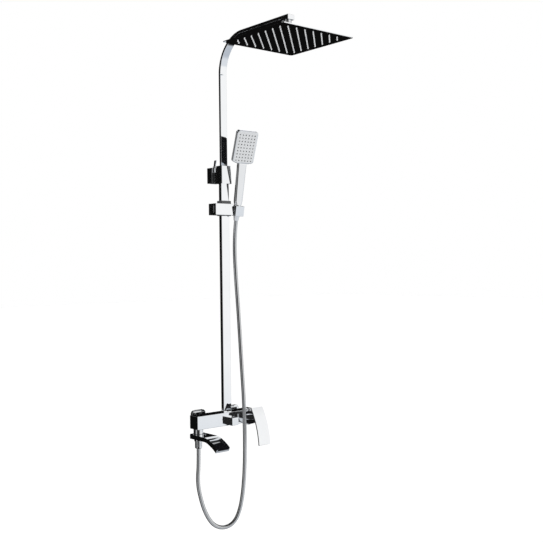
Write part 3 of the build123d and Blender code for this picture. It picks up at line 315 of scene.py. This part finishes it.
def tube_along(name, line, radius_at, sides):
    """Closed tube around a line; radius_at(distance, turn) gives its skin."""
    verts, faces = [], []
    tangent = (line[1] - line[0]).normalized()
    side = tangent.orthogonal().normalized()
    distance = 0.0
    for k, point in enumerate(line):
        ahead = line[min(k + 1, len(line) - 1)]
        back = line[max(k - 1, 0)]
        new_tangent = (ahead - back).normalized()
        side = (side - new_tangent * side.dot(new_tangent)).normalized()
        other = new_tangent.cross(side)
        if k:
            distance += (point - line[k - 1]).length
        for j in range(sides):
            turn = j / sides
            angle = 2 * math.pi * turn
            r = radius_at(distance, turn)
            verts.append(point + (side * math.cos(angle) + other * math.sin(angle)) * r)
    for k in range(len(line) - 1):
        for j in range(sides):
            a, b = k * sides + j, k * sides + (j + 1) % sides
            faces.append((a, b, b + sides, a + sides))
    faces.append(tuple(reversed(range(sides))))
    faces.append(tuple(range((len(line) - 1) * sides, len(line) * sides)))
    mesh = bpy.data.meshes.new(name)
    mesh.from_pydata([tuple(v) for v in verts], [], faces)
    mesh.update()
    for face in mesh.polygons:
        face.use_smooth = True
    obj = bpy.data.objects.new(name, mesh)
    bpy.context.scene.collection.objects.link(obj)
    return obj


steps = even_steps(smooth_line(HOSE_POINTS, "hose_route"), RIB_PITCH / RINGS_A_RIB)


def spiral_skin(distance, turn):
    """Wound strip: a raised round band and a narrow groove on each turn."""
    phase = (distance / RIB_PITCH + turn) % 1.0
    return HOSE_D / 2 - GROOVE * (1.0 - math.sin(math.pi * phase) ** 0.5)


HOSE_METAL = chrome("hose_strip", 0.07, 0.13, 0.66, 0.01, 0.00002)
# The hose is built in two stretches that meet at this height on its right leg.
MEET_Z = 0.530
meet = max(k for k, point in enumerate(steps) if point.z < MEET_Z)


def hose_piece(name, line, skin):
    made = tube_along(name, line, skin, SIDES)
    paint(made, HOSE_METAL)
    made.visible_glossy = False
    return made


# The long stretch runs along its right leg.
hose = hose_piece("hose_spiral", steps[:meet + 1], spiral_skin)
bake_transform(hose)
# The top stretch runs between the slider and the tilting cradle.
hose_top = hose_piece("hose_spiral_top", steps[meet:], spiral_skin)
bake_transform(hose_top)
# A slightly thinner end hides in the top stretch. It fills the gap where the hand shower
# lifts out of its cradle.
SPARE = 66.0 * MM
SPARE_INSET = 0.7 * MM  # less in radius than the hose
spare_count = round(SPARE / RIB_PITCH * RINGS_A_RIB)


def spare_skin(distance, turn):
    return spiral_skin(distance, turn) - SPARE_INSET


hose_end = hose_piece("hose_spiral_end", steps[-spare_count:], spare_skin)
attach(hose_end, "handset")
for piece, line, leaves, named in (
    (hose, steps[:meet + 1], (-0.122, -0.071, -0.090), ["hose_nut"]),
    (hose_top, steps[meet:], tuple(steps[meet]), ["hose_cone_nut"]),
):
    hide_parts("shower_hose")

# ------------------------------------------------------------- rain head nozzles
NOZZLE_PITCH = 34.6 * MM
ROWS = 8  # in the longer rows of the staggered grid
SEGMENTS = 20
# a nozzle's section, as radius and height over the face: collar, taper, lip and bore
NOZZLE_SECTION = (
    (0.0, 1.0), (2.35, 1.0), (2.35, -0.1), (2.1, -0.5), (1.72, -2.5), (1.6, -2.95),
    (1.3, -3.2), (0.85, -3.2), (0.7, -3.0), (0.62, -1.2), (0.0, -1.2),
)


def lathe(bm, centre, section):
    """One turned body about a vertical axis, closed at both ends of its section."""
    rings = []
    for radius, height in section:
        if radius == 0.0:
            rings.append([bm.verts.new(centre + Vector((0, 0, height * MM)))])
            continue
        ring = []
        for k in range(SEGMENTS):
            a = 2 * math.pi * k / SEGMENTS
            offset = Vector((radius * math.cos(a), radius * math.sin(a), height)) * MM
            ring.append(bm.verts.new(centre + offset))
        rings.append(ring)
    for upper, lower in zip(rings, rings[1:]):
        for k in range(SEGMENTS):
            after = (k + 1) % SEGMENTS
            if len(upper) == 1:
                bm.faces.new((upper[0], lower[after], lower[k]))
            elif len(lower) == 1:
                bm.faces.new((upper[k], upper[after], lower[0]))
            else:
                bm.faces.new((upper[k], upper[after], lower[after], lower[k]))


def staggered(rows):
    """Places of a grid of rows by rows - 1, and of the same grid turned by a quarter."""
    for across, along in ((rows, rows - 1), (rows - 1, rows)):
        for i in range(across):
            for j in range(along):
                yield (i - (across - 1) / 2, j - (along - 1) / 2)


face_low, face_high = (Vector(corner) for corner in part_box("head_face"))
face_centre = (face_low + face_high) / 2
nozzle_bm = bmesh.new()
for i, j in staggered(ROWS):
    foot = Vector((face_centre.x + i * NOZZLE_PITCH, face_centre.y + j * NOZZLE_PITCH, face_low.z))
    lathe(nozzle_bm, foot, NOZZLE_SECTION)
bmesh.ops.recalc_face_normals(nozzle_bm, faces=nozzle_bm.faces)
nozzle_mesh = bpy.data.meshes.new("rain_nozzles")
nozzle_bm.to_mesh(nozzle_mesh)
nozzle_bm.free()
for face in nozzle_mesh.polygons:
    face.use_smooth = True
rain_nozzles = bpy.data.objects.new("rain_nozzles", nozzle_mesh)
bpy.context.scene.collection.objects.link(rain_nozzles)
paint(rain_nozzles, SILICONE)
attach(rain_nozzles, "rain_head")
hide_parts("head_nozzles")

# ---------------------------------------------------------------- floor and light
FLOOR_HALF = 30  # metres
FLOOR_BELOW = 0.62  # under the lowest point of the hose's loop
floor_mesh = bpy.data.meshes.new("floor")
corners = [(x * FLOOR_HALF, y * FLOOR_HALF, 0) for x, y in ((-1, -1), (1, -1), (1, 1), (-1, 1))]
floor_mesh.from_pydata(corners, [], [(0, 1, 2, 3)])
floor = bpy.data.objects.new("floor", floor_mesh)
bpy.context.scene.collection.objects.link(floor)
floor.location.z = cad_low[2] - FLOOR_BELOW
floor_paint = Nodes("pale_floor").set(
    Roughness=0.9,
    Base_Color=(0.96, 0.96, 0.96, 1.0),
    Emission_Color=(1, 1, 1, 1),
    Emission_Strength=0.11,
)
paint(floor, floor_paint.mat)
floor.visible_glossy = False

world = bpy.data.worlds.new("studio")
bpy.context.scene.world = world
world.use_nodes = True
tree = world.node_tree
tree.nodes.clear()


def add(kind, **settings):
    made = tree.nodes.new(kind)
    for key, value in settings.items():
        setattr(made, key, value)
    return made


def ramp_of(source, stops):
    made = add("ShaderNodeValToRGB")
    while len(made.color_ramp.elements) < len(stops):
        made.color_ramp.elements.new(0.5)
    for element, (place, value) in zip(made.color_ramp.elements, stops):
        element.position = place
        element.color = (*value, 1.0) if isinstance(value, tuple) else (value, value, value, 1.0)
    tree.links.new(source, made.inputs["Fac"])
    return made.outputs["Color"]


direction = add("ShaderNodeTexCoord").outputs["Generated"]
split = add("ShaderNodeSeparateXYZ")
tree.links.new(direction, split.inputs["Vector"])


def between(source, low, high):
    """0 below low, 1 above high, smooth in between; falls instead where low is above high."""
    made = add("ShaderNodeMapRange", interpolation_type="SMOOTHSTEP")
    made.inputs["From Min"].default_value = min(low, high)
    made.inputs["From Max"].default_value = max(low, high)
    made.inputs["To Min"].default_value = 0.0 if low < high else 1.0
    made.inputs["To Max"].default_value = 1.0 if low < high else 0.0
    tree.links.new(source, made.inputs["Value"])
    return made.outputs["Result"]


def product(*sources):
    total = sources[0]
    for other in sources[1:]:
        made = add("ShaderNodeMath", operation="MULTIPLY")
        tree.links.new(total, made.inputs[0])
        tree.links.new(other, made.inputs[1])
        total = made.outputs["Value"]
    return total


def blend_to(colour, factor, other):
    made = add("ShaderNodeMix", data_type="RGBA")
    tree.links.new(factor, made.inputs["Factor"])
    tree.links.new(colour, made.inputs["A"])
    made.inputs["B"].default_value = (*other, 1.0)
    return made.outputs["Result"]


# What the chrome mirrors, by the compass: bright in front on the right and dark elsewhere,
# with one dimmer band straight behind and another straight to the left.
angle = add("ShaderNodeMath", operation="ARCTAN2")
tree.links.new(split.outputs["Y"], angle.inputs[0])
tree.links.new(split.outputs["X"], angle.inputs[1])
turn_fraction = add("ShaderNodeMapRange")
turn_fraction.inputs["From Min"].default_value = -math.pi
turn_fraction.inputs["From Max"].default_value = math.pi
tree.links.new(angle.outputs["Value"], turn_fraction.inputs["Value"])
# the ramp runs from -X (0) over -Y (0.25), +X (0.5) and +Y (0.75) back to -X (1)
STUDIO_STRENGTH = 1.05
DARK, BLACK = 0.02, 0.004
BLACK_RGB = (0.006, 0.006, 0.007)
SILVER, LOW_SILVER = (0.74, 0.77, 0.81), (0.50, 0.54, 0.60)
FLOOR_BAND, RIGHT_CARD, HIGH_CARD = (0.62, 0.64, 0.67), (0.88, 0.89, 0.91), (0.95, 0.95, 1.0)
around = ramp_of(turn_fraction.outputs["Result"], (
    (0.0, 0.48), (0.03, 0.48), (0.07, 0.05), (0.11, DARK), (0.17, DARK), (0.215, 0.12),
    (0.24, 0.42), (0.258, 0.50), (0.28, 0.90), (0.335, 0.97), (0.375, 0.96), (0.42, 0.78),
    (0.50, 0.30), (0.53, 0.05), (0.60, BLACK), (0.66, BLACK), (0.70, 0.32), (0.753, 0.32),
    (0.774, DARK), (0.845, BLACK), (0.94, BLACK), (0.972, 0.10), (1.0, 0.48),
))
x, y, z = split.outputs["X"], split.outputs["Y"], split.outputs["Z"]
front_right = product(between(y, -0.02, -0.22), between(x, 0.10, 0.35))
right_side = between(x, 0.70, 0.80)
# each patch is laid over those before it
patches = (
    (product(between(z, -0.27, -0.38), between(y, 0.32, 0.18)), FLOOR_BAND),
    (product(between(z, -0.10, -0.22), front_right), SILVER),
    (product(between(z, -0.42, -0.60), front_right), LOW_SILVER),
    (product(between(z, -0.50, -0.62), between(y, -0.16, -0.02)), BLACK_RGB),
    (product(between(z, 0.50, 0.66), between(y, 0.0, 0.12)), BLACK_RGB),
    (between(z, 0.62, 0.74), BLACK_RGB),
    (product(between(z, 0.28, 0.38), right_side), BLACK_RGB),
    (product(
        between(z, 0.30, 0.22), between(z, -0.40, -0.30), between(y, 0.14, 0.20), right_side,
    ), RIGHT_CARD),
    (product(
        between(z, 0.33, 0.38), between(z, 0.60, 0.54),
        between(y, 0.43, 0.51), between(x, 0.30, 0.42),
    ), HIGH_CARD),
)
shade = around
for share, colour in patches:
    shade = blend_to(shade, share, colour)
studio = add("ShaderNodeBackground")
tree.links.new(shade, studio.inputs["Color"])
studio.inputs["Strength"].default_value = STUDIO_STRENGTH
plain = add("ShaderNodeBackground")
plain.inputs["Color"].default_value = (1, 1, 1, 1)
plain.inputs["Strength"].default_value = 1.0
seen = add("ShaderNodeLightPath")
chosen = add("ShaderNodeMixShader")
tree.links.new(seen.outputs["Is Glossy Ray"], chosen.inputs["Fac"])
tree.links.new(plain.outputs["Background"], chosen.inputs[1])
tree.links.new(studio.outputs["Background"], chosen.inputs[2])
output = add("ShaderNodeOutputWorld")
tree.links.new(chosen.outputs["Shader"], output.inputs["Surface"])


def softbox(name, place, target, width, height, power):
    data = bpy.data.lights.new(name, "AREA")
    data.shape = "RECTANGLE"
    data.size, data.size_y = width, height
    data.energy = power
    lamp = bpy.data.objects.new(name, data)
    bpy.context.scene.collection.objects.link(lamp)
    lamp.location = place
    lamp.rotation_euler = (Vector(target) - Vector(place)).to_track_quat("-Z", "Y").to_euler()
    return lamp


key = softbox("key", (0.9, -3.6, 2.4), (0, -0.2, 0.5), 1.6, 1.6, 35)
key.visible_glossy = False
# The polished parts mirror the studio and each other, but not the hose, the diverter and
# the brass inside.
for name, obj in nodes.items():
    if slot_names[name] == "brass" or name.startswith("diverter_"):
        obj.visible_glossy = False

scene = bpy.context.scene
scene.view_settings.view_transform = "Standard"
scene.view_settings.look = "None"
